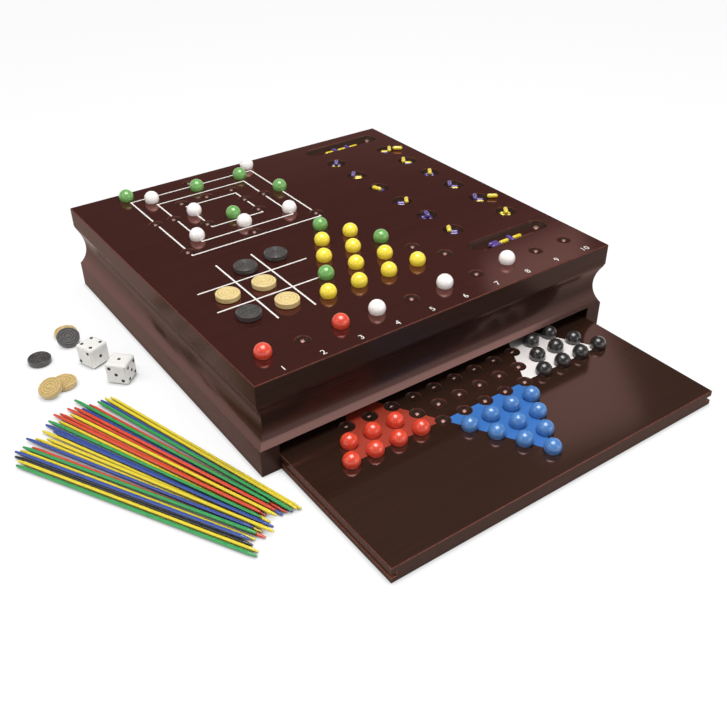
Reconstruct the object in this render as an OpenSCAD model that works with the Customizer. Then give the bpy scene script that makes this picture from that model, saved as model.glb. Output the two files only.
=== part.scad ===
// Games compendium box. A playing board stands on a frame of coved mouldings, a second board
// slides out of the front, and the pieces of the games are set out for play on and beside it.
// Millimetres. +X runs right along the front, +Y to the back and +Z up.
// The origin is on the table, under the middle of the top board.

/* [Case] */
// Width of the top board, left to right
case_w = 370; // [350:1:400]
// Depth of the top board, front to back
case_d = 367; // [360:1:400]
// Height of the top board's upper face above the table
case_h = 86.2; // [82:0.2:110]
// Thickness of the top board
top_t = 19.5; // [17:0.5:21]
// Bevel along the upper arris of both boards
arris = 0.7; // [0.3:0.1:1.2]

/* [Mouldings] */
// Thickness of a moulding, from the plinth's face to the inside
moulding_t = 16.8; // [15:0.2:18]
// How far the plinth's face stands proud of the top board's edge
plinth_out = 0.8; // [0.4:0.1:2]
// How far the straight splay above the cove leans in
splay_in = 1.2; // [0.6:0.1:2.4]
// Height of the straight splay above the cove
splay_h = 3.5; // [2:0.5:6]
// How far the cove's curve bows in from the line between its ends
cove_bow = 5.8; // [3:0.1:6.2]

/* [Pull-out board] */
// Thickness of the pull-out board
board_t = 13.9; // [12:0.1:16]
// Gap between the pull-out board and the table
board_lift = 0.3; // [0.2:0.1:1]
// Gap at each side of the pull-out board, and behind it when it is shut
board_gap = 0.4; // [0.3:0.1:0.8]
// How far the pull-out board stands out of the front
board_out = 142.6; // [100:0.2:200]
// Thickness of the wood under the groove in the board's edge
groove_z = 4; // [3:0.1:4.8]
// Height of the groove
groove_h = 4.4; // [4:0.2:5.6]
// Depth of the groove
groove_in = 5; // [4:0.5:7]

/* [Runners and corner blocks] */
// Gap around a runner inside the board's groove
runner_gap = 0.4; // [0.3:0.1:0.8]
// How deep a runner is let into its side moulding
runner_seat = 3; // [2:0.5:5]
// Length of wood between the end of a runner and the mouldings in front and behind
runner_stop = 4; // [2:1:20]
// Leg of a triangular corner block
block_leg = 24; // [20:1:30]
// Height of a corner block
block_h = 24; // [18:1:30]
// Shank of a corner screw
screw_d = 3.5; // [3:0.5:4]
// Head of a corner screw
screw_head_d = 7; // [6:0.5:8]
// Height of a screw's head
screw_head_h = 2.4; // [2:0.2:3]
// How far a corner screw bites into the top board
screw_bite = 8; // [6:0.5:9]
// Gap around a screw's shank in its hole
screw_gap = 0.1; // [0.05:0.05:0.3]

/* [Marbles and their seats] */
// Diameter of a marble
marble_d = 14.6; // [12:0.2:15]
// How far a marble stands above the board
marble_stand = 10.5; // [9:0.1:10.8]
// Gap between a marble and its seat
seat_gap = 0.3; // [0.2:0.05:0.5]
// Gap between a marble's top and the mouth that it rides through
mouth_gap = 0.3; // [0.3:0.1:1]

/* [Star] */
// Distance between the seats of the star
star_pitch = 22.5; // [20:0.1:22.6]
// How far the star's middle lies to the right of the case's middle
star_x = 5; // [0:0.5:7]
// How far the star's middle lies behind the middle of the pull-out board
star_back = 4.2; // [0:0.2:5]

/* [Mill] */
// Middle of the mill, left to right
mill_x = -62.4; // [-70:0.2:-60]
// Middle of the mill, front to back
mill_y = 99.8; // [95:0.2:101]
// Half the side of the outer square
mill_outer = 69; // [66:0.5:71]
// Half the side of the middle square
mill_middle = 50; // [47:0.5:52]
// Half the side of the inner square
mill_inner = 28; // [26:0.5:30]

/* [Triangle and row] */
// Middle of the triangle's front row, left to right
triangle_x = -8.2; // [-14:0.2:-4]
// Front row of the triangle, front to back
triangle_y = -108; // [-114:0.2:-106]
// Distance between the seats of the triangle
triangle_pitch = 31.4; // [28:0.1:32]
// Middle of the row of ten, left to right
row_x = -0.4; // [-6:0.2:4]
// Distance from the case's front edge to the row of ten
row_in = 30.8; // [24:0.2:32]
// Distance between the seats of the row
row_pitch = 35.4; // [32:0.1:35.5]

/* [Grid of three by three] */
// Middle of the grid, left to right
grid_x = -105.5; // [-112:0.1:-104]
// Middle of the grid, front to back
grid_y = -60.8; // [-64:0.1:-58]
// Distance between the middles of its squares
grid_pitch = 35.4; // [32:0.1:36]

/* [Mancala] */
// Middle of the pits, left to right
mancala_x = 124.4; // [122:0.2:128]
// Middle of the pits, front to back
mancala_y = 22.4; // [18:0.2:24]
// Distance between the two columns of pits
column_gap = 66.8; // [62:0.2:68]
// Distance between the pits of a column
pit_pitch = 39.4; // [36:0.1:40]
// Width of a pit and of a trough
pit_w = 20.4; // [18:0.2:22]
// Depth of a pit and of a trough
pit_deep = 8; // [6:0.2:8.6]
// Length of a trough
trough_l = 92; // [80:1:94]
// Thickness of a stone
stone_d = 4.4; // [4:0.2:5]
// Length of a stone
stone_l = 11; // [9:0.5:12]
// Gap between a stone and what it lies on
stone_gap = 0.3; // [0.2:0.05:0.5]

/* [Draughts and dice] */
// Diameter of a draught
draught_d = 21; // [18:0.5:24]
// Thickness of a draught
draught_t = 5.5; // [4.5:0.5:7]
// Depth of the turned rings on both faces of a draught
ring_deep = 0.5; // [0.3:0.1:0.8]
// Distance between the turned rings
ring_pitch = 2.7; // [2.2:0.1:3]
// Tilt of a draught that leans on another
lean = 22; // [18:1:26]
// Side of a die
die_w = 20.4; // [16:0.2:22]
// Radius of a die's edges
die_edge = 2.6; // [1:0.2:3]
// Width of a pip
pip_d = 3.2; // [2:0.2:3.6]
// Depth of a pip
pip_deep = 0.6; // [0.3:0.1:1]

/* [Pick-up sticks] */
// Thickness of a stick
stick_d = 3.2; // [2.6:0.1:3.2]
// Length of a stick
stick_l = 220; // [200:1:230]
// Length of a stick's tapered ends
stick_taper = 7; // [5:1:15]
// Thickness of a stick's tips
stick_tip_d = 1.9; // [1:0.1:2.4]

/* [Hidden] */
$fn = 64;

wood = [0.24, 0.11, 0.10];
raw_wood = [0.42, 0.20, 0.14];
steel = [0.72, 0.72, 0.70];
ivory = [0.86, 0.70, 0.40];
black = [0.07, 0.07, 0.07];
white = [0.94, 0.94, 0.92];
red = [0.82, 0.12, 0.10];
blue = [0.12, 0.35, 0.75];
green = [0.10, 0.52, 0.22];
yellow = [0.93, 0.80, 0.10];
purple = [0.30, 0.20, 0.62];

row_rise = sqrt(3) / 2;

marble_r = marble_d / 2;
seat_r = marble_r + seat_gap;
marble_up = marble_stand - marble_r;

// The mouth is as tall as the plinth, so that a marble on the board passes under the cove.
board_z = board_lift;
board_top = board_z + board_t;
mouth_z = board_top + marble_stand + mouth_gap;
plinth_h = mouth_z;
under_z = case_h - top_t;

inner_x = case_w / 2 + plinth_out - moulding_t;
inner_y = case_d / 2 + plinth_out - moulding_t;
front_y = -(case_d / 2 + plinth_out);

board_w = 2 * (inner_x - board_gap);
board_d = inner_y - board_gap - front_y;
board_front = front_y - board_out;
board_y = board_front + board_d / 2;
star_y = board_y + star_back;

// The cove is an arc from its lower arris to the foot of the splay.
cove_low = [plinth_out, plinth_h];
cove_high = [-splay_in, under_z - splay_h];
cove_chord = cove_high - cove_low;
cove_half = norm(cove_chord) / 2;
cove_r = (cove_half * cove_half + cove_bow * cove_bow) / (2 * cove_bow);
cove_side = [cove_chord[1], -cove_chord[0]] / norm(cove_chord);
cove_centre = (cove_low + cove_high) / 2 + cove_side * (cove_r - cove_bow);

pit_r = pit_w / 2;
cup_r = (pit_r * pit_r + pit_deep * pit_deep) / (2 * pit_deep);
cup_up = cup_r - pit_deep;
trough_half = trough_l / 2 - pit_r;

stone_r = stone_d / 2;
stone_half = stone_l / 2 - stone_r;
stone_side = stone_r + stone_gap / 2;
stone_reach = cup_r - stone_r - stone_gap;
stone_low = cup_up - sqrt(pow(stone_reach, 2) - pow(stone_half, 2) - pow(stone_side, 2));
stone_high = stone_low + stone_d + stone_gap;

row_y = -case_d / 2 + row_in;

// Seats on the rings of the mill: a ring's half side, then the column and row on that ring.
mill_halves = [mill_outer, mill_middle, mill_inner];
mill_ring = [[-1, -1], [0, -1], [1, -1], [-1, 0], [1, 0], [-1, 1], [0, 1], [1, 1]];
mill_green_at = [[0, -1, 1], [1, 0, 1], [1, 1, 1], [0, 1, 0], [2, 0, -1]];
mill_white_at = [[1, -1, 1], [0, 1, 1], [1, 1, -1], [2, -1, 0], [1, -1, -1], [1, 0, -1]];

// Seats of the triangle: place along the row, then the row from the front.
triangle_rows = 5;
triangle_yellow_at = [
    [0, 0], [1, 0], [2, 0], [3, 0], [1, 1], [2, 1], [0, 2], [1, 2], [0, 3], [1, 3]
];
triangle_green_at = [[0, 1], [2, 2], [0, 4]];

row_count = 10;
row_red_at = [1, 3];
row_white_at = [4, 6, 8];

// Draughts on the grid: column and row, then how far each lies off the middle of its square.
grid_black_at = [[0, 1, 0, -4], [1, 1, -2, 1], [-1, -1, 0, -2]];
grid_ivory_at = [[-1, 0, 0, -2], [0, 0, -1, -2], [0, -1, 0, -3]];

pits_in_column = 6;
// Stones in each pit from the back, for the left and the right column: the two that lie side by
// side, front one first, and the one across them (y yellow, p purple), then the turn of the two
// and how far the upper one lies along them.
left_pits = [
    ["ypp", -35, 0], ["yyp", -40, -4], ["ppy", 20, -4], ["ppy", -35, 4], ["ppp", -20, 0],
    ["ppy", -35, -4]
];
right_pits = [
    ["pyy", -35, 4], ["pyy", -35, -4], ["ppy", -35, 0], ["ypp", -35, -4], ["ypp", -35, -4],
    ["yyy", -35, 0]
];
// Stones in each trough: colour, place along it, the side of two that lie side by side, and turn
back_trough = [
    ["y", -16.3, 0, 0], ["p", -8.2, 0, 90], ["y", 0, 0, 0], ["p", 8.2, 0, 90], ["y", 16.3, 0, 0]
];
front_trough = [
    ["p", -16, -1, 0], ["p", -16, 1, 0], ["y", -4.6, 0, 0], ["p", 3.5, 0, 90], ["y", 11.6, 0, 0]
];
// Pits of the right column with one more stone on the board beside them
spilled_from = [0, 4];
spilled_by = [9.6, -9.2];

// Pieces on the table beside the case: place on the table, then the turn about the upright.
left_die_at = [-231.4, 41.9, 20.8];
right_die_at = [-220.9, 2.8, 43.6];
ivory_pair_at = [-266.5, 22.4, 24];
mixed_pair_at = [-237.2, 99.9, 81];
lone_black_at = [-272.5, 70.3];

// The fan of sticks about its middle, from the case outwards: each stick's colour, how far it
// lies towards the case at the wide end and at the narrow end, and how far it is slid along.
fan_middle = [-250.4, -132.2];
fan_turn = -67;
fan_half = 105;
fan = [
    ["y", 52.5, 26.8, 11], ["y", 48, 23.8, 9], ["b", 44.5, 20.8, 7], ["g", 41, 19, 7],
    ["r", 34.5, 17.1, 3], ["g", 31, 15.3, -12], ["b", 27.5, 13.4, 2], ["r", 24, 11.6, -4],
    ["r", 20.5, 9.7, -9], ["y", 16, 7.9, 0], ["r", 12.5, 6, -9], ["r", 8.5, 4.2, -12],
    ["y", 5, 2.3, -2], ["g", 0.5, 0.5, -9], ["b", -3.5, -1.4, -8], ["b", -7, -3.2, 5],
    ["y", -10.5, -5.1, -4], ["y", -16.5, -6.9, 8], ["y", -20, -8.8, -1], ["b", -24, -10.6, -7],
    ["r", -29.5, -12.5, 5], ["g", -33, -14.3, -1], ["y", -36.5, -17.6, 0], ["b", -40, -21, -2],
    ["k", -44, -23.1, 2], ["y", -47.5, -26.6, 9], ["g", -51.5, -30.6, 11]
];
stick_space = 0.12;
stick_prop = 0.9;

function mill_place(ring, column, row) =
    [mill_x + column * mill_halves[ring], mill_y + row * mill_halves[ring], 0];

function triangle_place(i, row) = [
    triangle_x + (i - (triangle_rows - 1 - row) / 2) * triangle_pitch,
    triangle_y + row * triangle_pitch * row_rise,
    0
];

function row_place(number) =
    [row_x + (number - (row_count + 1) / 2) * row_pitch, row_y, 0];

function star_place(i, row) =
    [star_x + i * star_pitch, star_y + row * star_pitch * row_rise, 0];

// A seat is in the star if it lies in either of the two big triangles.
function in_star(a, b, row) =
    (a >= -4 && b <= 4 && row >= -4) || (a <= 4 && b >= -4 && row <= 4);

function star_seats() = [
    for (row = [-8 : 8], a = [-8 : 8])
        let (b = a + row)
        if (in_star(a, b, row)) [a + row / 2, row]
];

function pit_place(side, i) = [
    mancala_x + side * column_gap / 2,
    mancala_y + (2.5 - i) * pit_pitch,
    0
];

function trough_place(side) =
    [mancala_x, mancala_y + side * (pits_in_column + 1) / 2 * pit_pitch, 0];

module bevelled_end(w, t) {
    polygon([
        [-w / 2, 0], [w / 2, 0], [w / 2, t - arris],
        [w / 2 - arris, t], [-w / 2 + arris, t], [-w / 2, t - arris]
    ]);
}

// A board whose upper arrises are bevelled
module bevelled_board(w, d, t) {
    intersection() {
        rotate([90, 0, 0]) linear_extrude(d, center = true) bevelled_end(w, t);
        rotate([90, 0, 90]) linear_extrude(w, center = true) bevelled_end(d, t);
    }
}

module seat() {
    translate([0, 0, marble_up]) sphere(seat_r);
}

module pit() {
    translate([0, 0, cup_up]) sphere(cup_r);
}

module trough() {
    translate([0, 0, cup_up]) {
        rotate([0, 90, 0]) cylinder(r = cup_r, h = 2 * trough_half, center = true);
        for (side = [-1, 1]) translate([side * trough_half, 0, 0]) sphere(cup_r);
    }
}

module top_board() {
    color(wood) difference() {
        translate([0, 0, under_z]) bevelled_board(case_w, case_d, top_t);
        translate([0, 0, case_h]) {
            for (ring = [0 : 2], at = mill_ring) translate(mill_place(ring, at[0], at[1])) seat();
            for (row = [0 : triangle_rows - 1], i = [0 : triangle_rows - 1 - row])
                translate(triangle_place(i, row)) seat();
            for (number = [1 : row_count]) translate(row_place(number)) seat();
            for (side = [-1, 1], i = [0 : pits_in_column - 1]) translate(pit_place(side, i)) pit();
            for (side = [-1, 1]) translate(trough_place(side)) trough();
        }
        for (x = [-1, 1], y = [-1, 1])
            translate([x * screw_x, y * screw_y, under_z - 1])
                cylinder(d = screw_d + 2 * screw_gap, h = screw_bite + 2);
    }
}

// Outline of a moulding: x is the distance out from the top board's edge, y is the height.
module moulding_outline() {
    back = plinth_out - moulding_t;
    difference() {
        polygon([
            [back, 0], [plinth_out, 0], cove_low, cove_high, [0, under_z], [back, under_z]
        ]);
        intersection() {
            translate(cove_centre) circle(cove_r, $fn = 180);
            translate([cove_high[0] - 2 * cove_bow, cove_low[1]])
                square([2 * cove_r, cove_high[1] - cove_low[1]]);
        }
    }
}

// A moulding along the front, mitred at both ends: span is the side of the top board that it
// carries, and reach is the distance of that side from the middle of the case.
module moulding(span, reach) {
    out = plinth_out + 1;
    intersection() {
        translate([0, -reach, 0]) rotate([90, 0, 90]) mirror([1, 0, 0])
            linear_extrude(span + 2 * out, center = true) moulding_outline();
        translate([0, -reach, -1]) linear_extrude(case_h + 2) polygon([
            [-span / 2 - out, -out], [span / 2 + out, -out],
            [span / 2 - moulding_t, moulding_t], [-span / 2 + moulding_t, moulding_t]
        ]);
    }
}

module front_moulding() {
    color(wood) difference() {
        moulding(case_w, case_d / 2);
        translate([-inner_x, front_y - 1, -1]) cube([2 * inner_x, moulding_t + 2, mouth_z + 1]);
    }
}

module back_moulding() {
    color(wood) rotate([0, 0, 180]) moulding(case_w, case_d / 2);
}

module left_moulding() {
    color(wood) difference() {
        rotate([0, 0, -90]) moulding(case_d, case_w / 2);
        runner_blank(-1);
    }
}

module right_moulding() {
    color(wood) difference() {
        rotate([0, 0, 90]) moulding(case_d, case_w / 2);
        runner_blank(1);
    }
}

// A runner fills a groove of its side moulding and stands out of it as a tongue.
module runner_blank(side) {
    tongue = groove_in - runner_gap;
    length = 2 * (inner_y - runner_stop);
    translate([side * (inner_x - board_gap - tongue + (tongue + board_gap + runner_seat) / 2), 0,
               board_z + groove_z + groove_h / 2])
        cube([tongue + board_gap + runner_seat, length, groove_h - 2 * runner_gap], center = true);
}

module left_runner() {
    color(raw_wood) runner_blank(-1);
}

module right_runner() {
    color(raw_wood) runner_blank(1);
}

screw_x = inner_x - block_leg / 3;
screw_y = inner_y - block_leg / 3;

module corner_blocks() {
    color(raw_wood) for (x = [-1, 1], y = [-1, 1]) difference() {
        translate([0, 0, under_z - block_h]) linear_extrude(block_h) polygon([
            [x * inner_x, y * inner_y],
            [x * (inner_x - block_leg), y * inner_y],
            [x * inner_x, y * (inner_y - block_leg)]
        ]);
        translate([x * screw_x, y * screw_y, under_z - block_h - 1])
            cylinder(d = screw_d + 2 * screw_gap, h = block_h + 2);
    }
}

module corner_screws() {
    color(steel) for (x = [-1, 1], y = [-1, 1])
        translate([x * screw_x, y * screw_y, under_z - block_h - screw_head_h]) {
            cylinder(d1 = screw_head_d - 1, d2 = screw_head_d, h = screw_head_h);
            cylinder(d = screw_d, h = screw_head_h + block_h + screw_bite);
        }
}

module pull_out_board() {
    color(wood) difference() {
        translate([0, board_y, board_z]) bevelled_board(board_w, board_d, board_t);
        for (side = [-1, 1])
            translate([side * board_w / 2, board_y, board_z + groove_z + groove_h / 2])
                cube([2 * groove_in, board_d + 2, groove_h], center = true);
        translate([0, 0, board_top])
            for (at = star_seats()) translate(star_place(at[0], at[1])) seat();
    }
}

module marble() {
    translate([0, 0, marble_up]) sphere(marble_r);
}

// Marbles on the star's seats from one row to another, in the point where places i are
// counted from the middle: side -1 is the left point, 0 the front one and 1 the right one.
module star_marbles(side, first, last) {
    for (at = star_seats())
        if (at[1] >= first && at[1] <= last && (
                side == 0 ? at[1] < -4
                : side < 0 ? at[0] + at[1] / 2 < -4
                : at[0] - at[1] / 2 > 4))
            translate([0, 0, board_top]) translate(star_place(at[0], at[1])) marble();
}

module star_blue_marbles() {
    color(blue) star_marbles(0, -8, -5);
}

module star_red_marbles() {
    color(red) star_marbles(-1, -4, -3);
}

module star_black_marbles() {
    color(black) star_marbles(1, -4, -3);
}

module star_inner_black_marbles() {
    color(black) star_marbles(1, -2, -2);
}

module mill_marbles(places) {
    for (at = places)
        translate([0, 0, case_h]) translate(mill_place(at[0], at[1], at[2])) marble();
}

module mill_green_marbles() {
    color(green) mill_marbles(mill_green_at);
}

module mill_white_marbles() {
    color(white) mill_marbles(mill_white_at);
}

module triangle_marbles(places) {
    for (at = places) translate([0, 0, case_h]) translate(triangle_place(at[0], at[1])) marble();
}

module triangle_yellow_marbles() {
    color(yellow) triangle_marbles(triangle_yellow_at);
}

module triangle_green_marbles() {
    color(green) triangle_marbles(triangle_green_at);
}

module row_marbles(numbers) {
    for (number = numbers) translate([0, 0, case_h]) translate(row_place(number)) marble();
}

module row_red_marbles() {
    color(red) row_marbles(row_red_at);
}

module row_white_marbles() {
    color(white) row_marbles(row_white_at);
}

// A turned draught with rings cut in both faces
module draught() {
    r = draught_d / 2;
    edge = 0.8;
    rings = floor((r - edge - ring_pitch / 2) / ring_pitch);
    face = [
        for (i = [1 : rings], step = [[-0.3, 0], [-0.12, 1], [0.12, 1], [0.3, 0]])
            [(i + step[0]) * ring_pitch, step[1] * ring_deep]
    ];
    bottom = [for (p = face) p];
    top = [for (i = [len(face) - 1 : -1 : 0]) [face[i][0], draught_t - face[i][1]]];
    rotate_extrude() polygon(concat(
        [[0, 0]], bottom, [[r - edge, 0], [r, edge], [r, draught_t - edge], [r - edge, draught_t]],
        top, [[0, draught_t]]
    ));
}

module grid_draughts(places) {
    for (at = places)
        translate([grid_x + at[0] * grid_pitch + at[2], grid_y + at[1] * grid_pitch + at[3], case_h])
            draught();
}

module grid_black_draughts() {
    color(black) grid_draughts(grid_black_at);
}

module grid_ivory_draughts() {
    color(ivory) grid_draughts(grid_ivory_at);
}

// A stone lies along X.
module stone() {
    rotate([0, 90, 0]) cylinder(d = stone_d, h = 2 * stone_half, center = true);
    for (side = [-1, 1]) translate([side * stone_half, 0, 0]) sphere(d = stone_d);
}

module pit_stones(pit, colour) {
    rotate([0, 0, pit[1]]) {
        for (i = [0, 1])
            if (pit[0][i] == colour)
                translate([0, (2 * i - 1) * stone_side, stone_low]) stone();
        if (pit[0][2] == colour)
            translate([pit[2], 0, stone_high]) rotate([0, 0, 90]) stone();
    }
}

// A stone in a trough lies on the round bottom at its middle or, turned across it, at its ends.
module trough_stones(stones, colour) {
    for (at = stones)
        if (at[0] == colour) {
            reach = abs(at[2]) > 0 ? stone_side : at[3] > 0 ? stone_half : 0;
            translate([at[1], at[2] * stone_side, cup_up - sqrt(pow(stone_reach, 2) - pow(reach, 2))])
                rotate([0, 0, at[3]]) stone();
        }
}

module stones(colour) {
    translate([0, 0, case_h]) {
        for (i = [0 : pits_in_column - 1]) {
            translate(pit_place(-1, i)) pit_stones(left_pits[i], colour);
            translate(pit_place(1, i)) pit_stones(right_pits[i], colour);
        }
        translate(trough_place(1)) trough_stones(back_trough, colour);
        translate(trough_place(-1)) trough_stones(front_trough, colour);
        if (colour == "y")
            for (i = spilled_from)
                translate(pit_place(1, i) + [spilled_by[0], spilled_by[1], stone_r])
                    rotate([0, 0, -35]) stone();
    }
}

module yellow_stones() {
    color(yellow) stones("y");
}

module purple_stones() {
    color(purple) stones("p");
}

module rounded_square(w, r) {
    square([w, w - 2 * r], center = true);
    square([w - 2 * r, w], center = true);
    for (x = [-1, 1], y = [-1, 1]) translate([x * (w / 2 - r), y * (w / 2 - r)]) circle(r);
}

// Places of a face's pips, in steps from its middle; slant turns the diagonal of two and three.
function pip_places(count, slant) = concat(
    count % 2 == 1 ? [[0, 0]] : [],
    count > 1 ? [[slant, 1], [-slant, -1]] : [],
    count > 3 ? [[-slant, 1], [slant, -1]] : [],
    count > 5 ? [[-1, 0], [1, 0]] : []
);

module pips(count, slant) {
    pip_r = (pip_d * pip_d / 4 + pip_deep * pip_deep) / (2 * pip_deep);
    pip_step = die_w * 0.28;
    for (at = pip_places(count, slant))
        translate([at[0] * pip_step, at[1] * pip_step, die_w / 2 + pip_r - pip_deep])
            sphere(pip_r);
}

// A die, seen from its front left corner: top, left and right are the faces in view.
module die(top, left, right, slant) {
    translate([0, 0, die_w / 2]) difference() {
        intersection() {
            linear_extrude(die_w, center = true) rounded_square(die_w, die_edge);
            rotate([90, 0, 0]) linear_extrude(die_w, center = true)
                rounded_square(die_w, die_edge);
            rotate([0, 90, 0]) linear_extrude(die_w, center = true)
                rounded_square(die_w, die_edge);
            sphere(die_w * 0.775);
        }
        pips(top, 1);
        rotate([180, 0, 0]) pips(7 - top, 1);
        rotate([90, 0, 0]) pips(right, 1);
        rotate([90, 0, -90]) pips(left, slant);
        rotate([90, 0, 90]) pips(7 - left, 1);
        rotate([90, 0, 180]) pips(7 - right, 1);
    }
}

module left_die() {
    color(white) translate([left_die_at[0], left_die_at[1], 0]) rotate([0, 0, left_die_at[2]])
        die(4, 2, 1, 1);
}

module right_die() {
    color(white) translate([right_die_at[0], right_die_at[1], 0]) rotate([0, 0, right_die_at[2]])
        die(1, 3, 5, -1);
}

module on_table(at) {
    translate([at[0], at[1], 0]) rotate([0, 0, at[2]]) children();
}

// A draught whose low edge stands on the table and whose underside leans on another at 0, 0
module leaning_draught() {
    r = draught_d / 2;
    reach = draught_t / tan(lean);
    clear = 0.15;
    translate([-r - reach - clear, 0, clear]) rotate([0, -lean, 0]) translate([r, 0, 0]) draught();
}

module table_black_draughts() {
    color(black) {
        translate([lone_black_at[0], lone_black_at[1], 0]) draught();
        on_table(mixed_pair_at) leaning_draught();
    }
}

module table_ivory_draughts() {
    color(ivory) {
        on_table(mixed_pair_at) draught();
        on_table(ivory_pair_at) draught();
        on_table(ivory_pair_at) leaning_draught();
    }
}

// A stick lies along Z with its back end at 0.
module stick() {
    cylinder(d1 = stick_tip_d, d2 = stick_d, h = stick_taper);
    translate([0, 0, stick_taper]) cylinder(d = stick_d, h = stick_l - 2 * stick_taper);
    translate([0, 0, stick_l - stick_taper])
        cylinder(d1 = stick_d, d2 = stick_tip_d, h = stick_taper);
}

// Every other stick climbs towards the narrow end of the fan, where its neighbours carry it.
// Stations along the fan run from 0 at the wide end to 1 at the narrow end.
function fan_across(i, station) = fan[i][1] + (fan[i][2] - fan[i][1]) * station;

function fan_lift(i, station) =
    let (
        gaps = [
            for (j = [i - 1, i + 1])
                if (j < len(fan)) abs(fan_across(i, station) - fan_across(j, station))
        ]
    )
    sqrt(max(0, pow(stick_d + stick_space, 2) - pow(0.99 * min(gaps), 2)));

function fan_climb(i) = max([
    for (station = [0.1 : 0.05 : 1.05])
        (fan_lift(i, station) - stick_prop * (1 - station)) / station
]);

module sticks(colour) {
    translate([fan_middle[0], fan_middle[1], stick_d / 2]) rotate([0, 0, fan_turn])
        for (i = [0 : len(fan) - 1])
            if (fan[i][0] == colour) {
                raised = i % 2 == 1;
                wide_end = [-fan_half, fan[i][1], raised ? stick_prop : 0];
                narrow_end = [fan_half, fan[i][2], raised ? fan_climb(i) : 0];
                along = (narrow_end - wide_end) / norm(narrow_end - wide_end);
                middle = wide_end + along * (fan_half + fan[i][3]);
                translate(middle - along * stick_l / 2)
                    rotate([0, acos(along[2]), atan2(along[1], along[0])]) stick();
            }
}

module yellow_sticks() {
    color(yellow) sticks("y");
}

module blue_sticks() {
    color(blue) sticks("b");
}

module green_sticks() {
    color(green) sticks("g");
}

module red_sticks() {
    color(red) sticks("r");
}

module black_stick() {
    color(black) sticks("k");
}

top_board();
front_moulding();
back_moulding();
left_moulding();
right_moulding();
left_runner();
right_runner();
corner_blocks();
corner_screws();
pull_out_board();
star_blue_marbles();
star_red_marbles();
star_black_marbles();
star_inner_black_marbles();
mill_green_marbles();
mill_white_marbles();
triangle_yellow_marbles();
triangle_green_marbles();
row_red_marbles();
row_white_marbles();
grid_black_draughts();
grid_ivory_draughts();
yellow_stones();
purple_stones();
left_die();
right_die();
table_black_draughts();
table_ivory_draughts();
yellow_sticks();
blue_sticks();
green_sticks();
red_sticks();
black_stick();
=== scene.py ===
import math

import bpy
from mathutils import Matrix, Vector, geometry


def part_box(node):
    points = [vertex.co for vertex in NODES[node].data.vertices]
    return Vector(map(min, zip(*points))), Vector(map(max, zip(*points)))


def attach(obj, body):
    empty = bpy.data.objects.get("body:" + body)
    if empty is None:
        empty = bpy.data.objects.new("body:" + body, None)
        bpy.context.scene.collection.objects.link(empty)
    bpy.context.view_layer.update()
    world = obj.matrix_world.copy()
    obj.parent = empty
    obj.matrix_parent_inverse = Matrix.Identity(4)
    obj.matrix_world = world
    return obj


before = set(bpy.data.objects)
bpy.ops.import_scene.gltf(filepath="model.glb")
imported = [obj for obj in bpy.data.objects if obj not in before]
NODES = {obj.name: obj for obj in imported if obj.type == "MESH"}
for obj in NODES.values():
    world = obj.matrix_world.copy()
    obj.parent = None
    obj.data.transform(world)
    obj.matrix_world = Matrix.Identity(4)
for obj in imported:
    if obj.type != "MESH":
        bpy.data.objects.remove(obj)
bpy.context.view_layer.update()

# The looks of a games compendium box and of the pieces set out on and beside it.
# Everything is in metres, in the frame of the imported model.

MM = 0.001

# The camera that took the picture: where it stands and how it is turned, in degrees
CAMERA_AT = (-0.41722, -0.65121, 0.46831)
CAMERA_AZIMUTH = -35.059
CAMERA_ELEVATION = 35.091
CAMERA_ROLL = -0.553
CAMERA_LENS_MM = 44.363
SENSOR_MM = 36

# The radius of each seat's opening, and the star of seats in rows from its middle, which lies
# a little off the middle of its board
SEAT_RADIUS = 6.96 * MM
STAR_PITCH = 22.5 * MM
STAR_OFF = (5 * MM, 4.2 * MM)
STAR_TIP = 8
STAR_CORE = 4
ROW_RISE = math.sqrt(3) / 2

# The star's painted points: corners as column and row, colour, and slot of the record
STAR_POINTS = {
    "front": (((-2, -4), (2, -4), (0, -8)), (0.035, 0.165, 0.50), "blue_marble"),
    "left_front": (((-2, -4), (-6, -4), (-4, 0)), (0.38, 0.042, 0.020), "red_marble"),
    "right_front": (((2, -4), (6, -4), (4, 0)), (0.88, 0.83, 0.81), "white_marble"),
    "left_back": (((-4, 0), (-6, 4), (-2, 4)), (0.62, 0.42, 0.01), "yellow_marble"),
    "right_back": (((4, 0), (6, 4), (2, 4)), (0.015, 0.20, 0.05), "green_marble"),
    "back": (((-2, 4), (2, 4), (0, 8)), (0.008, 0.008, 0.008), "black_marble"),
}

# The lines on the top board. The mill's squares are printed a little off their seats.
LINE_WIDTH = 1.6 * MM
MILL_CENTRE = (-62.6 * MM, 90.3 * MM)
MILL_HALF_SIDES = {"outer": 68.5 * MM, "middle": 48.8 * MM, "inner": 27.5 * MM}
MILL_SEATS_CENTRE = (-62.4 * MM, 99.8 * MM)
MILL_SEATS_HALF_SIDES = (69 * MM, 50 * MM, 28 * MM)
GRID_CENTRE = (-105.5 * MM, -60.8 * MM)
GRID_PITCH = 35.4 * MM
GRID_LINE_LENGTH = 106 * MM

# The numbers beside the row of seats, with a little room between the figures of the last one
NUMERAL_FIRST = (-156 * MM, -176.3 * MM)
NUMERAL_PITCH = 35.3 * MM
NUMERAL_COUNT = 10
NUMERAL_SIZE = 8.4 * MM
NUMERAL_SPACING = 1.15

# Layers of paint, and the fineness of the round holes in them
PAINT_GAP = 0.03 * MM
PAINT_THICKNESS = 0.06 * MM
HOLE_SIDES = 40
MERGE_DISTANCE = 1e-7

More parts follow.
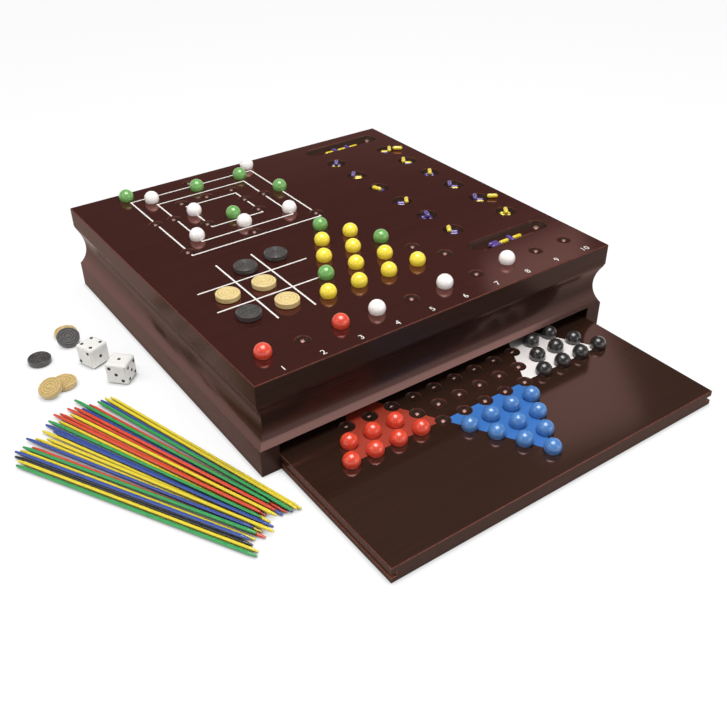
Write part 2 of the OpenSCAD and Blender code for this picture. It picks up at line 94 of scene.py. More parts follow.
# Each die's turn about the upright, in degrees, and the pips of its top, left and right faces.
# Its slant picks the diagonal of the left face. The pips of opposite faces add up to one sum.
DICE = {
    "left_die": {"turn": 20.8, "faces": (4, 2, 1), "slant": 1, "body": "first_die"},
    "right_die": {"turn": 43.6, "faces": (1, 3, 5), "slant": -1, "body": "second_die"},
}
OPPOSITE_SUM = 7

# The dice's round hollows: their step from a face's middle is a share of its side
PIP_STEP = 0.28
PIP_WIDTH = 3.2 * MM
PIP_DEPTH = 0.6 * MM
PIP_GAP = 0.01 * MM
PIP_SKIN = 0.05 * MM
PIP_RINGS = 6
PIP_SIDES = 20

# Boards are worn to a lighter red on their edges, down to a depth and where a face isn't flat.
# The wear comes and goes with a noise, and is never less than a share of its most.
WORN_DEPTH = 0.9 * MM
FLAT_FACE = 0.97
WEAR_FREQUENCY = 260
WEAR_BAND = (0.3, 0.6)
WEAR_LEAST = 0.45

# The grooves in the pull-out board's edges, left without lacquer
GROOVE_LOW = 4.3 * MM
GROOVE_HIGH = 8.7 * MM
GROOVE_DEPTH = 5.2 * MM
GROOVE_MARGIN = 0.02 * MM

# The stain's dark, middle and light tones, and the painted shade that tints faces that look up
BOARD_STAINS = ((0.031, 0.0172, 0.0130), (0.037, 0.0206, 0.0156), (0.048, 0.0256, 0.0190))
MOULDING_STAINS = ((0.025, 0.0130, 0.0102), (0.034, 0.0176, 0.0138), (0.046, 0.0235, 0.0182))
# The side mouldings take lighter tones than the long ones
SIDE_MOULDING_TONES = ((0.030, 0.0156, 0.0122), (0.041, 0.0211, 0.0166), (0.055, 0.0282, 0.0218))
# Painted shade on faces that look up: it reddens the top board, and darkens the pull-out board as under
# the case
TOP_UP_SHADE = (1.0, 0.47, 0.48)
BOARD_UP_SHADE = (0.76, 0.66, 0.56)
NO_UP_SHADE = (1, 1, 1)
WOOD_WORN = (0.14, 0.046, 0.034)
WOOD_RAW = (0.22, 0.085, 0.050)

# The wood's figure: frequencies along and across the grain, per metre, where the grain takes the
# stain's three tones, and the band in which pores take a share of the dark one
STREAKS = (9, 420)
CLOUDS = (3, 17)
PORES = (60, 2600)
STREAK_SHARE = 0.62
GRAIN_STOPS = (0.30, 0.50, 0.72)
PORE_BAND = (0.34, 0.46)
PORE_SHARE = 0.35

# The lacquer: a sheen on upright faces, and a polish on faces that look up
SHEEN = {"tint": (0.46, 0.285, 0.245), "index": 1.5, "roughness": 0.22}
POLISH = {"tint": (0.95, 0.50, 0.45), "index": 2.1, "roughness": 0.10}
LACQUER_UNEVENNESS = (-0.015, 0.02)

# Heights of a face's normal between which the sheen turns into the polish
FLAT_LEVEL = (0.66, 0.985)
COVE_LEVEL = (0.1, 0.6)

# What the lacquer reflects turns to this tint as its share grows between two values
GRAZING_TINT = (0.50, 0.44, 0.41)
GRAZING_BAND = (0.28, 0.6)

# Each finish's deep and pale tone
TONES = {
    "zinc_plate": ((0.50, 0.48, 0.42), (0.68, 0.66, 0.60)),
    "blue_pearl": ((0.065, 0.20, 0.50), (0.080, 0.235, 0.56)),
    "red_pearl": ((0.72, 0.058, 0.026), (0.78, 0.078, 0.036)),
    "black_satin": ((0.020, 0.017, 0.016), (0.026, 0.022, 0.021)),
    "green_milk": ((0.135, 0.36, 0.080), (0.17, 0.42, 0.11)),
    "white_milk": ((0.90, 0.85, 0.82), (0.92, 0.89, 0.87)),
    "yellow_milk": ((0.92, 0.70, 0.040), (0.94, 0.78, 0.062)),
    "black_paint": ((0.040, 0.036, 0.034), (0.092, 0.083, 0.079)),
    "honey_varnish": ((0.72, 0.54, 0.22), (0.86, 0.68, 0.32)),
    "amber_varnish": ((0.58, 0.40, 0.15), (0.72, 0.53, 0.22)),
    "yellow_stone_plastic": ((0.78, 0.55, 0.01), (0.9, 0.72, 0.05)),
    "purple_stone_plastic": ((0.085, 0.045, 0.25), (0.14, 0.080, 0.34)),
    "die_plastic": ((0.91, 0.89, 0.85), (0.92, 0.90, 0.87)),
    "yellow_stick_plastic": ((0.82, 0.64, 0.02), (0.86, 0.69, 0.03)),
    "blue_stick_plastic": ((0.030, 0.070, 0.32), (0.038, 0.085, 0.38)),
    "green_stick_plastic": ((0.025, 0.33, 0.08), (0.035, 0.38, 0.10)),
    "red_stick_plastic": ((0.70, 0.06, 0.025), (0.76, 0.08, 0.035)),
    "black_stick_plastic": ((0.012, 0.012, 0.012), (0.02, 0.02, 0.02)),
}

# Paint varies between two shares of its colour
PRINT_WHITE = (0.86, 0.84, 0.80)
PIP_BLACK = (0.006, 0.006, 0.006)
PAINT_SHADES = (0.88, 1.04)

# The band in which most values of a noise lie
NOISE_BAND = (0.3, 0.7)

# Painted shade in the gaps between sticks and in a draught's rings: how far a point looks out for
# what is near it, and how open a point is where the painted shade is full and where it ends
STICK_GAP_SHADE = (4 * MM, 0.35, 0.85)
RING_SHADE = (1.2 * MM, 0.45, 0.92)
OCCLUSION_SAMPLES = 8

# The floor, just under the pieces: its own grey, and how much of it glows for the camera
FLOOR_HALF_SIDE = 6.0
FLOOR_DROP = 0.2 * MM
FLOOR_GREY = (0.74, 0.74, 0.74)
FLOOR_GLOW_SHARE = 0.85

# Painted shadow: the glow is darker near things and under them. Each gives the reach, how open a
# point is at the dark end and at the bright end, and the strength there
FLOOR_CONTACT_SHADOW = (5 * MM, 0.0, 0.9, 0.3, 1.05)
FLOOR_COVER_SHADOW = (90 * MM, 0.03, 0.33, 0.04, 1.0)

# The room that glosses see fades upward to a dim ceiling, and the fill light is plain
WHITE = (1, 1, 1)
WALL_TOP = 0.4
CEILING_LEVEL = 0.09
FILL_LEVEL = 0.32

# The softboxes: where they stand and aim, their sides, power in watts, and turn in degrees
LAMPS = {
    "overhead": ((-0.05, -0.20, 1.55), (-0.05, -0.15, 0.05), (1.0, 1.0), 24, 0),
    "front_right": ((0.70, -1.65, 0.60), (0, -0.18, 0.04), (1.1, 0.6), 3.3, 0),
    "left": ((-1.5, 0.1, 1.1), (-0.1, 0, 0.05), (1.2, 0.9), 3.4, 0),
    "far_right": ((3.05, 2.26, 2.56), (0.1, -0.2, 0.05), (1.1, 0.6), 1.0, -60),
}

# Places of the Mix node's colour sockets, which share their names with others
MIX_FIRST = 6
MIX_SECOND = 7
MIX_RESULT = 2


class Shader:
    """The node tree of a material or a world, with one short call for each node."""

    def __init__(self, owner, output="ShaderNodeOutputMaterial"):
        self.owner = owner
        owner.use_nodes = True
        self.tree = owner.node_tree
        self.tree.nodes.clear()
        self.output = self.node(output)

    def node(self, kind, inputs=None, **settings):
        made = self.tree.nodes.new(kind)
        for key, value in settings.items():
            setattr(made, key, value)
        for key, value in (inputs or {}).items():
            self.put(made.inputs[key], value)
        return made

    def put(self, socket, value):
        if isinstance(value, bpy.types.NodeSocket):
            self.tree.links.new(value, socket)
        elif socket.type == "RGBA":
            socket.default_value = (*value, 1)
        else:
            socket.default_value = value

    def principled(self, **inputs):
        named = {key.replace("_", " "): value for key, value in inputs.items()}
        return self.node("ShaderNodeBsdfPrincipled", named).outputs[0]

    def shown(self, surface):
        """Makes a surface the one that is seen, and gives its material or world."""
        self.put(self.output.inputs["Surface"], surface)
        return self.owner

    def math(self, operation, first, second=0.0):
        made = self.node("ShaderNodeMath", operation=operation)
        self.put(made.inputs[0], first)
        self.put(made.inputs[1], second)
        return made.outputs[0]

    def place(self):
        return self.node("ShaderNodeTexCoord").outputs["Object"]

    def split(self, vector):
        return self.node("ShaderNodeSeparateXYZ", {"Vector": vector}).outputs

    def noise(self, stretch, detail=4.0, roughness=0.55):
        """Noise in the object's own space; stretch is its frequency along each axis, per metre."""
        mapping = self.node("ShaderNodeMapping", {"Vector": self.place(), "Scale": stretch})
        return self.node(
            "ShaderNodeTexNoise",
            {"Vector": mapping.outputs[0], "Scale": 1.0, "Detail": detail, "Roughness": roughness},
        ).outputs["Fac"]

    def openness(self, reach, low, high, out_low, out_high, **settings):
        """A value that goes from out_low to out_high as a point gets more open within a reach."""
        made = self.node(
            "ShaderNodeAmbientOcclusion", {"Distance": reach}, samples=OCCLUSION_SAMPLES, **settings
        )
        return self.span(made.outputs["AO"], low, high, out_low, out_high)

    def ramp(self, factor, *stops):
        made = self.node("ShaderNodeValToRGB", {"Fac": factor})
        elements = made.color_ramp.elements
        while len(elements) < len(stops):
            elements.new(0.5)
        for element, (at, colour) in zip(elements, stops):
            element.position = at
            element.color = (*colour, 1)
        return made.outputs["Color"]

    def varied(self, pattern, least, spread):
        """A value that follows a noise up from its least."""
        return self.span(pattern, *NOISE_BAND, least, least + spread)

    def span(self, value, low, high, out_low=0.0, out_high=1.0):
        return self.node(
            "ShaderNodeMapRange",
            {"Value": value, "From Min": low, "From Max": high, "To Min": out_low, "To Max": out_high},
        ).outputs["Result"]

    def mix(self, factor, first, second, blend="MIX"):
        made = self.node("ShaderNodeMix", data_type="RGBA", blend_type=blend)
        self.put(made.inputs["Factor"], factor)
        self.put(made.inputs[MIX_FIRST], first)
        self.put(made.inputs[MIX_SECOND], second)
        return made.outputs[MIX_RESULT]

    def blend(self, share, first, second):
        """One shader where share is 0, the other where it is 1."""
        made = self.node("ShaderNodeMixShader")
        for socket, value in zip(made.inputs, (share, first, second)):
            self.put(socket, value)
        return made.outputs[0]

    def bump(self, height, distance, strength=1.0):
        return self.node(
            "ShaderNodeBump", {"Height": height, "Distance": distance, "Strength": strength}
        ).outputs["Normal"]

    def seen_ray(self, path):
        """1 for a ray from the camera, or one that a gloss or glass sends on."""
        total = path["Is Camera Ray"]
        for name in ("Is Glossy Ray", "Is Transmission Ray"):
            total = self.math("MAXIMUM", total, path[name])
        return total


def new_material(name):
    return Shader(bpy.data.materials.new(name))


def scaled(colour, k):
    return tuple(part * k for part in colour)


def along(axis, slow, fast):
    """Frequencies of a pattern that is drawn out along one axis: 0 is X, 1 is Y, 2 is Z."""
    return tuple(slow if i == axis else fast for i in range(3))


def even(frequency):
    """The same frequency along every axis."""
    return (frequency, frequency, frequency)


def worn_mask(shader, top):
    """1 on every face but the flat one within WORN_DEPTH of a board's upper face."""
    height = shader.split(shader.place())["Z"]
    facing = shader.node("ShaderNodeNewGeometry").outputs["True Normal"]
    near_top = shader.math("GREATER_THAN", height, top - WORN_DEPTH)
    not_flat = shader.math("LESS_THAN", shader.split(facing)["Z"], FLAT_FACE)
    return shader.math("MULTIPLY", near_top, not_flat)


def groove_mask(shader, half_width):
    """1 inside the grooves of the pull-out board's two edges."""
    place = shader.split(shader.place())
    out = shader.math("ABSOLUTE", place["X"])
    beside = shader.math("GREATER_THAN", out, half_width - GROOVE_DEPTH)
    above = shader.math("GREATER_THAN", place["Z"], GROOVE_LOW - GROOVE_MARGIN)
    below = shader.math("LESS_THAN", place["Z"], GROOVE_HIGH + GROOVE_MARGIN)
    return shader.math("MULTIPLY", beside, shader.math("MULTIPLY", above, below))


def stained_grain(shader, axis, stains):
    """The wood's streaks, its whole grain, and the stain's colour that follows it."""
    streaks = shader.noise(along(axis, *STREAKS), detail=6, roughness=0.62)
    clouds = shader.noise(along(axis, *CLOUDS), detail=3)
    pores = shader.noise(along(axis, *PORES), detail=2)
    grain = shader.math(
        "ADD",
        shader.math("MULTIPLY", streaks, STREAK_SHARE),
        shader.math("MULTIPLY", clouds, 1 - STREAK_SHARE),
    )
    colour = shader.ramp(grain, *zip(GRAIN_STOPS, stains))
    in_pores = shader.span(pores, *PORE_BAND, PORE_SHARE, 0.0)
    return streaks, grain, shader.mix(in_pores, colour, stains[0])


def under_lacquer(shader, colour, reflection, index, rough, normal):
    """A matt stain below a tinted gloss, whose share follows the angle of view."""
    stain = shader.principled(Base_Color=colour, Roughness=0.8, Specular_IOR_Level=0.0, Normal=normal)
    share = shader.node("ShaderNodeFresnel", {"IOR": index, "Normal": normal}).outputs[0]
    tint = shader.mix(shader.span(share, *GRAZING_BAND), reflection, GRAZING_TINT)
    gloss = shader.node("ShaderNodeBsdfGlossy", {"Color": tint, "Roughness": rough, "Normal": normal})
    return shader.shown(shader.blend(share, stain, gloss.outputs[0]))


def lacquered_wood(name, axis, stains, tint, level, worn_top=None, groove_half_width=None):
    """Stained wood under lacquer, with its grain along an axis: 0 is X, 1 is Y.

    Between the two levels, heights of a face's normal, the sheen turns into the polish, and the tint, a
    painted shade, darkens faces that look up.
    """
    shader = new_material(name)
    streaks, grain, colour = stained_grain(shader, axis, stains)
    facing = shader.node("ShaderNodeNewGeometry").outputs["Normal"]
    polished = shader.span(shader.split(facing)["Z"], *level)
    # Painted shade on faces that look up, multiplied in by the tint
    colour = shader.mix(polished, colour, tint, "MULTIPLY")
    if worn_top is not None:
        patches = shader.noise(even(WEAR_FREQUENCY), detail=3)
        wear = shader.span(patches, *WEAR_BAND, WEAR_LEAST, 1.0)
        worn = shader.math("MULTIPLY", worn_mask(shader, worn_top), wear)
        colour = shader.mix(worn, colour, WOOD_WORN)

    reflection = shader.mix(polished, SHEEN["tint"], POLISH["tint"])
    index = shader.span(polished, 0.0, 1.0, SHEEN["index"], POLISH["index"])
    rough = shader.span(polished, 0.0, 1.0, SHEEN["roughness"], POLISH["roughness"])
    rough = shader.math("ADD", rough, shader.span(streaks, *NOISE_BAND, *LACQUER_UNEVENNESS))
    if groove_half_width is not None:
        raw = groove_mask(shader, groove_half_width)
        raw_colour = shader.mix(streaks, scaled(WOOD_RAW, 0.6), scaled(WOOD_RAW, 1.5))
        colour = shader.mix(raw, colour, raw_colour)
        rough = shader.math("MAXIMUM", rough, shader.math("MULTIPLY", raw, 0.8))
    normal = shader.bump(grain, distance=0.02 * MM, strength=0.25)
    return under_lacquer(shader, colour, reflection, index, rough, normal)


def raw_wood(name, axis):
    """Stained wood without lacquer."""
    shader = new_material(name)
    streaks = shader.noise(along(axis, slow=12, fast=500), detail=5, roughness=0.6)
    tones = scaled(WOOD_RAW, 0.45), scaled(WOOD_RAW, 1.1)
    colour = shader.ramp(streaks, *zip(NOISE_BAND, tones))
    normal = shader.bump(streaks, distance=0.1 * MM)
    return shader.shown(shader.principled(Base_Color=colour, Roughness=0.75, Normal=normal))


def zinc(name):
    """Plated steel, clouded by handling."""
    shader = new_material(name)
    cloud = shader.noise(even(300), detail=4)
    colour = shader.ramp(cloud, *zip(NOISE_BAND, TONES[name]))
    rough = shader.varied(cloud, least=0.28, spread=0.17)
    return shader.shown(shader.principled(Base_Color=colour, Metallic=1.0, Roughness=rough))


def marble(name, gloss=0.28, glow=0.12):
    """A ball of one colour with the faintest swirl and a painted glow of its colour, under a pearly
    gloss.
    """
    shader = new_material(name)
    flow = shader.node(
        "ShaderNodeTexNoise",
        {"Vector": shader.place(), "Scale": 120.0, "Detail": 2.0, "Distortion": 1.2},
    ).outputs["Fac"]
    colour = shader.mix(shader.span(flow, 0.35, 0.65), *TONES[name])
    return shader.shown(shader.principled(
        Base_Color=colour,
        Roughness=shader.varied(flow, gloss, spread=0.04),
        # A painted glow: the ball gives off a little of its own colour, though it is no lamp
        Emission_Color=colour,
        Emission_Strength=glow,
        Coat_Weight=1.0,
        Coat_Roughness=0.07,
    ))


def plastic(name, axis=0, gloss=0.25, gap_shaded=False):
    """Moulded plastic with faint flow marks along an axis, and painted shade between things in a bundle.
    """
    shader = new_material(name)
    deep, pale = TONES[name]
    flow = shader.noise(along(axis, slow=60, fast=400), detail=3)
    colour = shader.mix(shader.span(flow, *NOISE_BAND), deep, pale)
    if gap_shaded:
        # Painted shade: darker where the sticks lie close to each other
        colour = shader.mix(shader.openness(*STICK_GAP_SHADE, 1.0, 0.0), colour, scaled(deep, 0.3))
    return shader.shown(shader.principled(
        Base_Color=colour,
        Roughness=shader.varied(flow, gloss, spread=0.1),
        Normal=shader.bump(flow, distance=0.02 * MM, strength=0.15),
        Coat_Weight=1.0,
        Coat_IOR=1.6,
        Coat_Roughness=0.06,
    ))


def turned_wood(name, gloss):
    """A turned wooden draught under paint or varnish, with painted shade in its rings."""
    shader = new_material(name)
    deep, pale = TONES[name]
    grain = shader.noise(along(0, slow=60, fast=900), detail=4, roughness=0.6)
    colour = shader.mix(shader.span(grain, *NOISE_BAND), deep, pale)
    # Painted shade: the rings are darker where less around them is open
    ring_shade = shader.openness(*RING_SHADE, 1.0, 0.0, only_local=True)
    return shader.shown(shader.principled(
        Base_Color=shader.mix(ring_shade, colour, scaled(deep, 0.25)),
        Roughness=shader.varied(grain, gloss, spread=0.12),
        Normal=shader.bump(grain, distance=0.03 * MM, strength=0.3),
        Coat_Weight=0.6,
        Coat_Roughness=0.16,
    ))


def paint(name, colour, gloss=0.35):
    """Screen-printed paint, slightly uneven."""
    shader = new_material(name)
    speckle = shader.noise(even(900), detail=3)
    shades = (scaled(colour, k) for k in PAINT_SHADES)
    return shader.shown(shader.principled(
        Base_Color=shader.mix(shader.span(speckle, *NOISE_BAND), *shades),
        Roughness=shader.varied(speckle, gloss, spread=0.15),
        Coat_Weight=0.2,
        Coat_Roughness=0.1,
    ))


def dress(material, *names):
    for name in names:
        for slot in NODES[name].material_slots:
            slot.material = material


def dress_case():
    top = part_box("top_board")[1].z
    dress(lacquered_wood("top_lacquer", 0, BOARD_STAINS, TOP_UP_SHADE, FLAT_LEVEL, top), "top_board")
    dress(
        lacquered_wood("long_moulding_lacquer", 0, MOULDING_STAINS, NO_UP_SHADE, COVE_LEVEL),
        "front_moulding", "back_moulding",
    )
    dress(
        lacquered_wood("side_moulding_lacquer", 1, SIDE_MOULDING_TONES, NO_UP_SHADE, COVE_LEVEL),
        "left_moulding", "right_moulding",
    )
    dress(raw_wood("runner_wood", 1), "left_runner", "right_runner")
    dress(raw_wood("block_wood", 2), "corner_blocks")
    dress(zinc("zinc_plate"), "corner_screws")


def dress_board():
    """The pull-out board lies centred across the case, so its right edge gives its half width."""
    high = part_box("pull_out_board")[1]
    dress(
        lacquered_wood("board_lacquer", 0, BOARD_STAINS, BOARD_UP_SHADE, FLAT_LEVEL, high.z, high.x),
        "pull_out_board",
    )


def dress_games():
    dress(marble("blue_pearl", glow=0.05), "star_blue_marbles")
    dress(marble("red_pearl", glow=0.08), "star_red_marbles", "row_red_marbles")
    dress(
        marble("black_satin", gloss=0.34, glow=0.0), "star_black_marbles", "star_inner_black_marbles"
    )
    dress(marble("green_milk"), "mill_green_marbles", "triangle_green_marbles")
    dress(marble("white_milk", glow=0.14), "mill_white_marbles", "row_white_marbles")
    dress(marble("yellow_milk"), "triangle_yellow_marbles")
    dress(turned_wood("black_paint", 0.36), "grid_black_draughts", "table_black_draughts")
    dress(turned_wood("honey_varnish", 0.4), "grid_ivory_draughts")
    dress(turned_wood("amber_varnish", 0.4), "table_ivory_draughts")
    dress(plastic("yellow_stone_plastic"), "yellow_stones")
    dress(plastic("purple_stone_plastic"), "purple_stones")
    dress(plastic("die_plastic", gloss=0.2), *DICE)
    for colour in ("yellow", "blue", "green", "red"):
        dress(plastic(f"{colour}_stick_plastic", axis=1, gap_shaded=True), f"{colour}_sticks")
    dress(plastic("black_stick_plastic", axis=1, gap_shaded=True), "black_stick")


def link(data, body, material, at=(0, 0, 0)):
    """Makes a piece that rides on a body and takes the given finish."""
    piece = bpy.data.objects.new(data.name, data)
    bpy.context.scene.collection.objects.link(piece)
    piece.location = at
    data.materials.append(material)
    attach(piece, body)


def circle(centre, radius, sides):
    steps = [2 * math.pi * i / sides for i in range(sides)]
    return [Vector((centre[0] + radius * math.cos(a), centre[1] + radius * math.sin(a))) for a in steps]


def inside(point, loop):
    """Whether a point lies inside a closed loop of corners."""
    hit = False
    for a, b in zip(loop, loop[1:] + loop[:1]):
        if (a.y > point.y) != (b.y > point.y):
            if point.x < a.x + (point.y - a.y) / (b.y - a.y) * (b.x - a.x):
                hit = not hit
    return hit


def filled_faces(loops, holes):
    """Corners and faces of the flat area that the loops cover, apart from round holes in it."""
    points, edges = [], []
    for loop in loops + [circle(at, SEAT_RADIUS, HOLE_SIDES) for at in holes]:
        first = len(points)
        points += loop
        edges += [(first + i, first + (i + 1) % len(loop)) for i in range(len(loop))]
    flat, _, faces, *_ = geometry.delaunay_2d_cdt(points, edges, [], 0, MERGE_DISTANCE)
    kept = []
    for face in faces:
        middle = sum((flat[i] for i in face), Vector((0, 0))) / len(face)
        covered = any(inside(middle, loop) for loop in loops)
        if covered and not any((middle - Vector(at)).length < SEAT_RADIUS for at in holes):
            kept.append(list(face))
    return flat, kept


def rim_of(faces):
    """The edges that only one face has, in that face's order."""
    rim = {}
    for face in faces:
        for a, b in zip(face, face[1:] + face[:1]):
            if (b, a) in rim:
                del rim[(b, a)]
            else:
                rim[(a, b)] = True
    return list(rim)


def paint_layer(name, loops, holes, under):
    """A thin closed layer that fills the loops, apart from round holes, on a face at a height."""
    flat, kept = filled_faces(loops, holes)
    count = len(flat)
    low = under + PAINT_GAP
    verts = [(p.x, p.y, z) for z in (low, low + PAINT_THICKNESS) for p in flat]
    solid = [[i + count for i in face] for face in kept]
    solid += [face[::-1] for face in kept]
    solid += [[a, b, b + count, a + count] for a, b in rim_of(kept)]
    used = sorted({i for face in solid for i in face})
    order = {old: new for new, old in enumerate(used)}
    mesh = bpy.data.meshes.new(name)
    mesh.from_pydata([verts[i] for i in used], [], [[order[i] for i in face] for face in solid])
    mesh.update()
    return mesh


def stroke(start, end):
    """The four corners of a straight line of paint."""
    start, end = Vector(start), Vector(end)
    step = (end - start).normalized() * (LINE_WIDTH / 2)
    side = Vector((-step.y, step.x))
    return [start - step - side, end + step - side, end + step + side, start - step + side]


def square_corners(centre, half):
    x, y = centre
    return [(x - half, y - half), (x + half, y - half), (x + half, y + half), (x - half, y + half)]


def mill_seats():
    """Eight seats on each square: its corners and the middles of its sides."""
    ring = [(-1, -1), (0, -1), (1, -1), (-1, 0), (1, 0), (-1, 1), (0, 1), (1, 1)]
    return [
        (MILL_SEATS_CENTRE[0] + x * half, MILL_SEATS_CENTRE[1] + y * half)
        for half in MILL_SEATS_HALF_SIDES
        for x, y in ring
    ]


def print_mill(white):
    """The mill's three squares."""
    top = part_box("top_board")[1].z
    for label, half in MILL_HALF_SIDES.items():
        corners = square_corners(MILL_CENTRE, half)
        loops = [stroke(a, b) for a, b in zip(corners, corners[1:] + corners[:1])]
        mesh = paint_layer(f"mill_{label}_square", loops, mill_seats(), top)
        link(mesh, "case", white)


def print_grid(white):
    """The four lines of the three by three grid."""
    x, y = GRID_CENTRE
    reach = GRID_LINE_LENGTH / 2
    loops = []
    for off in (-GRID_PITCH / 2, GRID_PITCH / 2):
        loops.append(stroke((x + off, y - reach), (x + off, y + reach)))
        loops.append(stroke((x - reach, y + off), (x + reach, y + off)))
    mesh = paint_layer("grid_lines", loops, [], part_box("top_board")[1].z)
    link(mesh, "case", white)


def print_numerals(white):
    """Plain numbers along the row of ten, to be read from the front."""
    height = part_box("top_board")[1].z + PAINT_GAP + PAINT_THICKNESS / 2
    x, y = NUMERAL_FIRST
    for i in range(NUMERAL_COUNT):
        letters = bpy.data.curves.new(f"numeral_{i + 1}", "FONT")
        letters.body = str(i + 1)
        letters.size = NUMERAL_SIZE
        letters.space_character = NUMERAL_SPACING
        letters.align_x = "CENTER"
        letters.align_y = "CENTER"
        letters.extrude = PAINT_THICKNESS / 2
        link(letters, "case", white, (x + i * NUMERAL_PITCH, y, height))


def star_point(column, row):
    """A place on the star, counted in seats from its middle."""
    low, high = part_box("pull_out_board")
    middle = Vector(((low.x + high.x) / 2 + STAR_OFF[0], (low.y + high.y) / 2 + STAR_OFF[1]))
    return middle + Vector((column * STAR_PITCH, row * STAR_PITCH * ROW_RISE))


def star_seats():
    """The seats of two large triangles, one pointing to the front and one to the back."""
    seats = []
    for row in range(-STAR_TIP, STAR_TIP + 1):
        for a in range(-STAR_TIP, STAR_TIP + 1):
            b = a + row
            to_back = a >= -STAR_CORE and b <= STAR_CORE and row >= -STAR_CORE
            to_front = a <= STAR_CORE and b >= -STAR_CORE and row <= STAR_CORE
            if to_back or to_front:
                seats.append(star_point(a + row / 2, row))
    return seats


def print_star():
    """The six painted points of the star."""
    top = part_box("pull_out_board")[1].z
    seats = star_seats()
    for label, (corners, colour, slot) in STAR_POINTS.items():
        loop = [star_point(*corner) for corner in corners]
        mesh = paint_layer(f"star_{label}_point", [loop], seats, top)
        link(mesh, "board", paint(f"{label}_point_paint", colour))


def revolved(profile, sides):
    """Corners and faces of a closed form turned about Z; the profile starts and ends on the axis."""
    verts = [(0, 0, profile[0][1])]
    faces = []
    for radius, z in profile[1:-1]:
        verts += [(p.x, p.y, z) for p in circle((0, 0), radius, sides)]
    verts.append((0, 0, profile[-1][1]))
    rings = len(profile) - 2
    for i in range(sides):
        j = (i + 1) % sides
        faces.append((0, 1 + j, 1 + i))
        for k in range(rings - 1):
            low, high = 1 + k * sides, 1 + (k + 1) * sides
            faces.append((low + i, low + j, high + j, high + i))
        last = 1 + (rings - 1) * sides
        faces.append((len(verts) - 1, last + i, last + j))
    return verts, faces


def pip_places(count, slant):
    """Places of a face's pips, in steps from its middle; slant picks the diagonal of two or three."""
    places = [(0, 0)] if count % 2 else []
    if count > 1:
        places += [(slant, 1), (-slant, -1)]
    if count > 3:
        places += [(-slant, 1), (slant, -1)]
    if count > 5:
        places += [(-1, 0), (1, 0)]
    return places


def die_faces(die):
    """Each face's tip about X and spin about Z, in degrees, with its pips and their slant."""
    top, left, right = die["faces"]
    return [
        (0, 0, top, 1),
        (180, 0, OPPOSITE_SUM - top, 1),
        (90, 0, right, 1),
        (90, -90, left, die["slant"]),
        (90, 90, OPPOSITE_SUM - left, 1),
        (90, 180, OPPOSITE_SUM - right, 1),
    ]


def turn(degrees, axis):
    return Matrix.Rotation(math.radians(degrees), 4, axis)


def pip_form():
    """Corners and faces of a drop of paint that lines a hollow, set in a face at height 0."""
    ball = (PIP_WIDTH ** 2 / 4 + PIP_DEPTH ** 2) / (2 * PIP_DEPTH)
    radii = [PIP_WIDTH / 2 * i / PIP_RINGS for i in range(PIP_RINGS + 1)]
    bowl = [(r, ball - PIP_DEPTH - math.sqrt(ball ** 2 - r ** 2)) for r in radii]
    lower = [(r, z + PIP_GAP) for r, z in bowl]
    upper = [(r, z + PIP_SKIN) for r, z in reversed(bowl)]
    return revolved(lower + upper, PIP_SIDES)


def paint_pips(black):
    """Black paint in each hollow of the dice."""
    verts, faces = pip_form()
    for name, die in DICE.items():
        low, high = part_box(name)
        side = high.z - low.z
        stand = Matrix.Translation((low + high) / 2) @ turn(die["turn"], "Z")
        all_verts, all_faces = [], []
        for tip, spin, count, slant in die_faces(die):
            face = stand @ turn(spin, "Z") @ turn(tip, "X")
            for x, y in pip_places(count, slant):
                first = len(all_verts)
                move = face @ Matrix.Translation((x * side * PIP_STEP, y * side * PIP_STEP, side / 2))
                all_verts += [move @ Vector(v) for v in verts]
                all_faces += [[first + i for i in f] for f in faces]
        mesh = bpy.data.meshes.new(f"{name}_pips")
        mesh.from_pydata(all_verts, [], all_faces)
        mesh.shade_smooth()
        link(mesh, die["body"], black)


def make_camera():
    azimuth, elevation = math.radians(CAMERA_AZIMUTH), math.radians(CAMERA_ELEVATION)
    roll = math.radians(CAMERA_ROLL)
    back = Vector((
        math.sin(azimuth) * math.cos(elevation),
        -math.cos(azimuth) * math.cos(elevation),
        math.sin(elevation),
    ))
    level = Vector((math.cos(azimuth), math.sin(azimuth), 0))
    up = back.cross(level)
    right = math.cos(roll) * level + math.sin(roll) * up
    up = math.cos(roll) * up - math.sin(roll) * level
    data = bpy.data.cameras.new("camera")
    data.lens = CAMERA_LENS_MM
    data.sensor_width = SENSOR_MM
    camera = bpy.data.objects.new("camera", data)
    camera.matrix_world = Matrix.Translation(CAMERA_AT) @ Matrix((right, up, back)).transposed().to_4x4()
    bpy.context.scene.collection.objects.link(camera)
    bpy.context.scene.camera = camera


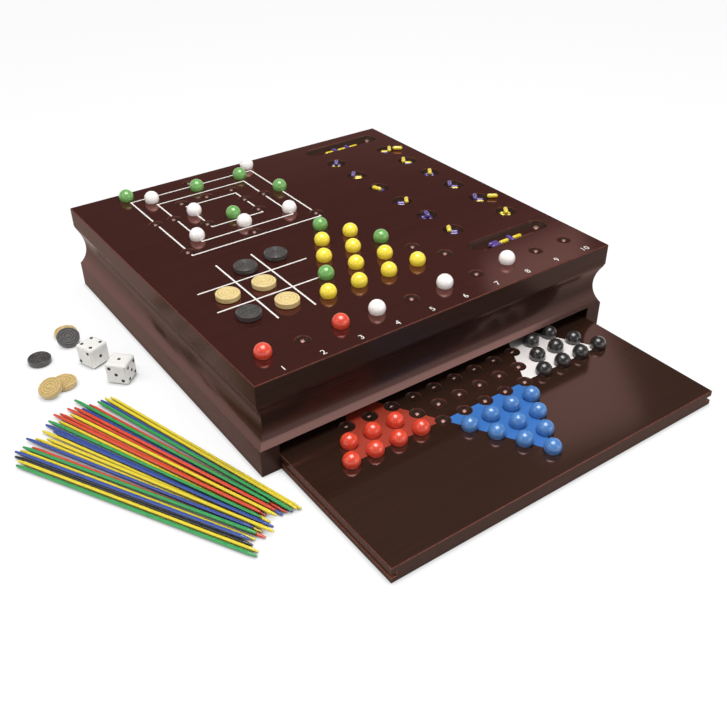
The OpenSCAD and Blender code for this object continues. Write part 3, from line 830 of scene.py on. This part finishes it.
def floor_material():
    """White to the camera, with painted shadow where things touch or cover it, and lit by the lamps in
    part.
    """
    shader = new_material("floor_white")
    matt = shader.node("ShaderNodeBsdfDiffuse", {"Color": FLOOR_GREY})
    # Painted shadow, from how open the floor is near things and under them
    contact_shadow, under = shader.openness(*FLOOR_CONTACT_SHADOW), shader.openness(*FLOOR_COVER_SHADOW)
    strength = shader.math("MULTIPLY", contact_shadow, under)
    glow = shader.node("ShaderNodeEmission", {"Color": WHITE, "Strength": strength})
    path = shader.node("ShaderNodeLightPath").outputs
    share = shader.math("MULTIPLY", shader.seen_ray(path), FLOOR_GLOW_SHARE)
    return shader.shown(shader.blend(share, matt.outputs[0], glow.outputs[0]))


def make_floor():
    """A white floor that keeps a soft shadow."""
    mesh = bpy.data.meshes.new("floor")
    corners = square_corners((0, 0), FLOOR_HALF_SIDE)
    mesh.from_pydata([(x, y, -FLOOR_DROP) for x, y in corners], [], [(0, 1, 2, 3)])
    mesh.materials.append(floor_material())
    floor = bpy.data.objects.new("floor", mesh)
    bpy.context.scene.collection.objects.link(floor)


def make_world():
    """White behind the object; glosses see the room's wall and ceiling, the rest is plain fill."""
    shader = Shader(bpy.data.worlds.new("studio"), "ShaderNodeOutputWorld")
    coordinates = shader.node("ShaderNodeTexCoord").outputs["Generated"]
    level = shader.span(shader.split(coordinates)["Z"], 0.0, WALL_TOP, 1.0, CEILING_LEVEL)
    room, fill, white = (
        shader.node("ShaderNodeBackground", {"Color": WHITE, "Strength": strength}).outputs[0]
        for strength in (level, FILL_LEVEL, 1.0)
    )
    path = shader.node("ShaderNodeLightPath").outputs
    lit = shader.blend(shader.seen_ray(path), fill, room)
    bpy.context.scene.world = shader.shown(shader.blend(path["Is Camera Ray"], lit, white))


def make_lamps():
    """Plain softboxes; the last number of each turns it about the line to what it aims at."""
    for name, (at, target, size, power, spin) in LAMPS.items():
        data = bpy.data.lights.new(name, "AREA")
        data.shape = "RECTANGLE"
        data.size, data.size_y = size
        data.energy = power
        lamp = bpy.data.objects.new(name, data)
        aim = (Vector(target) - Vector(at)).to_track_quat("-Z", "Y").to_matrix().to_4x4()
        lamp.matrix_world = Matrix.Translation(at) @ aim @ turn(spin, "Z")
        bpy.context.scene.collection.objects.link(lamp)


make_camera()
make_floor()
make_world()
make_lamps()
bpy.context.scene.view_settings.view_transform = "Standard"

dress_case()
dress_board()
dress_games()
white_paint = paint("white_paint", PRINT_WHITE)
print_mill(white_paint)
print_grid(white_paint)
print_numerals(white_paint)
print_star()
paint_pips(paint("pip_paint", PIP_BLACK, 0.2))

bpy.context.view_layer.update()
